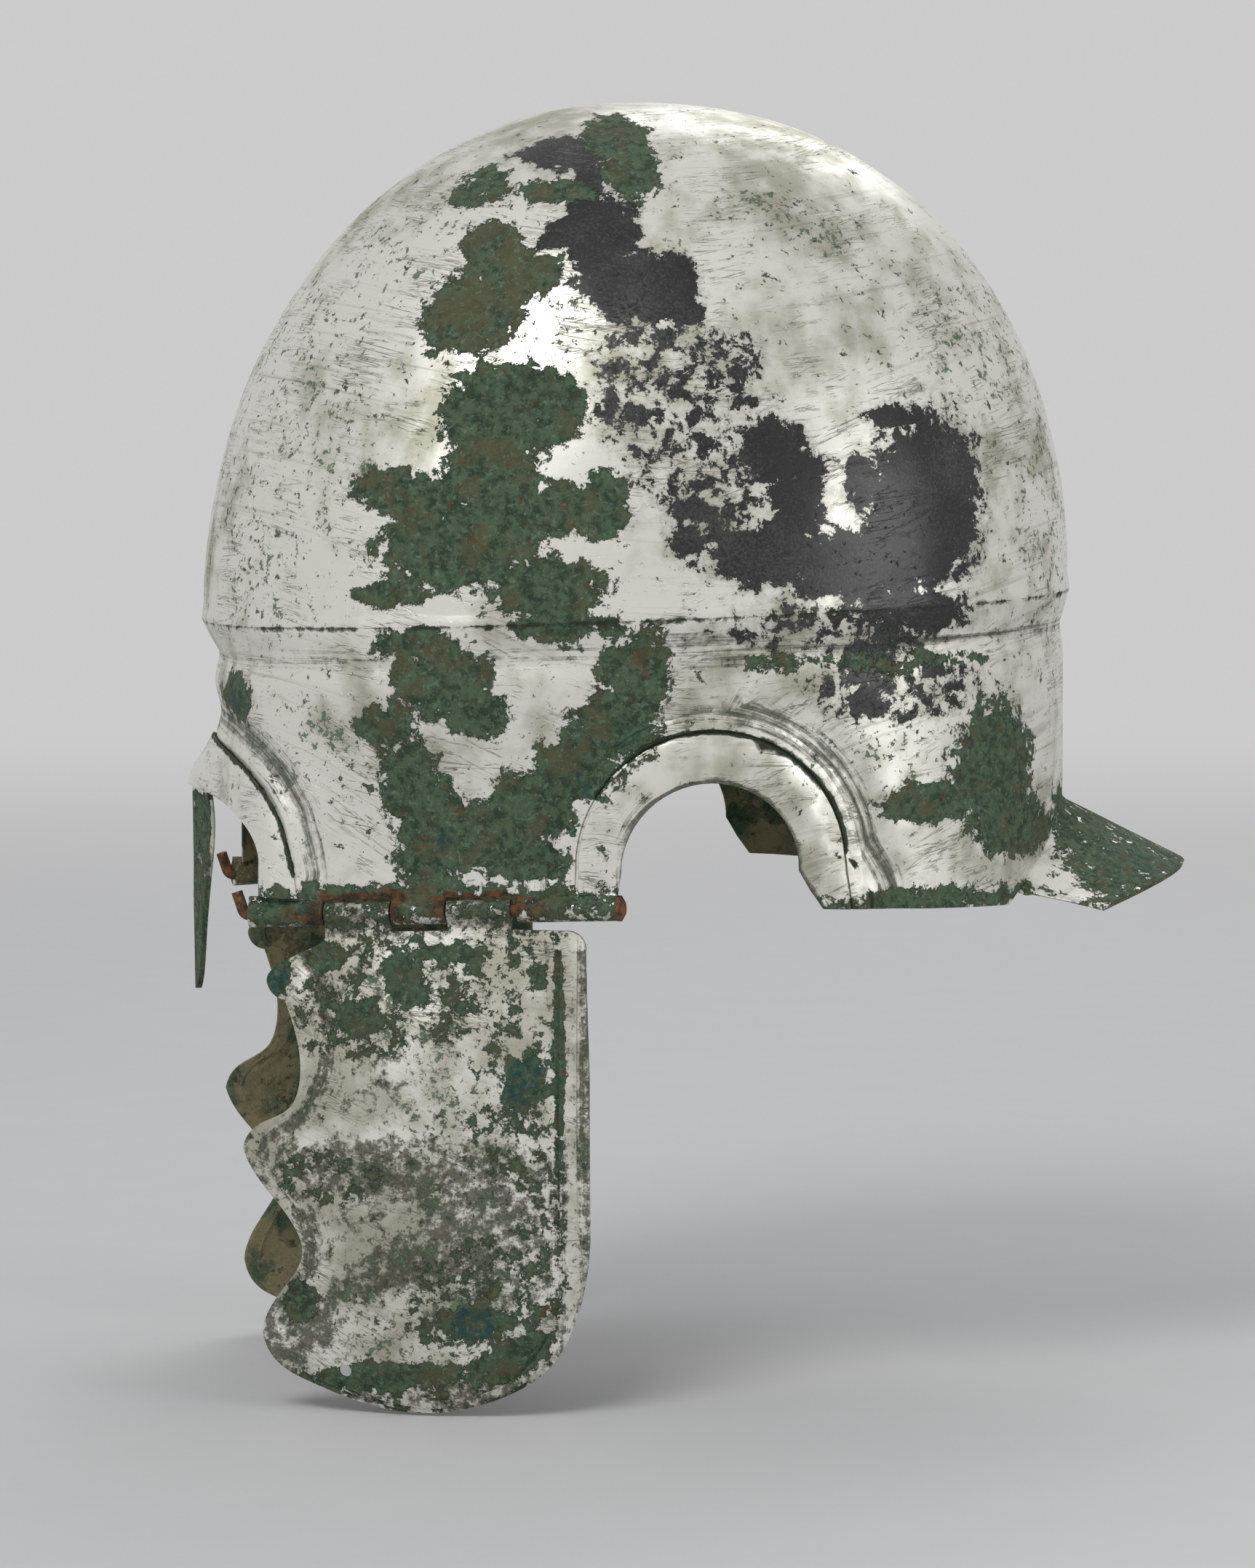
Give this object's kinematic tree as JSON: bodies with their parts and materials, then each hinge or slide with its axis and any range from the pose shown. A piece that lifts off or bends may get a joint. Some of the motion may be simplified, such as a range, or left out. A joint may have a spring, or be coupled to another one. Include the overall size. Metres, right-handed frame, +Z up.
{
  "type": "chalcidian helmet",
  "caption": "Ancient bronze helmet with a carinated skull, nasal, open ear arches, flared neck guard and two hinged cheek-pieces.",
  "frame": {"origin": "midway between the two cheek hinges, in the plane where the head enters", "axes": "+Z up to the crown, -X out of the face, +X out of the nape, -Y to the wearer's left"},
  "size_m": [0.2745, 0.186, 0.3466],
  "materials": {
    "tinned_bronze": "tinned bronze, worn, with green and black patina",
    "cheek_bronze": "tinned bronze, mottled grey-brown and green",
    "pin_iron": "rusty dark brown"
  },
  "bodies": {
    "skull": {"bowl": "tinned_bronze", "left_hinge_pin": "pin_iron", "right_hinge_pin": "pin_iron"},
    "left_cheek_piece": {"left_cheek": "cheek_bronze"},
    "right_cheek_piece": {"right_cheek": "cheek_bronze"}
  },
  "joints": [
    {"name": "left_cheek_hinge", "type": "hinge", "parent": "skull", "child": "left_cheek_piece", "pos_m": [-0.1085, -0.06, -0.00175], "axis": [-0.9587, 0.2821, -0.0353], "range_deg": [-20, 140]},
    {"name": "right_cheek_hinge", "type": "hinge", "parent": "skull", "child": "right_cheek_piece", "pos_m": [-0.1085, 0.06, -0.00175], "axis": [0.9587, 0.2821, 0.0353], "range_deg": [-20, 140]}
  ]
}
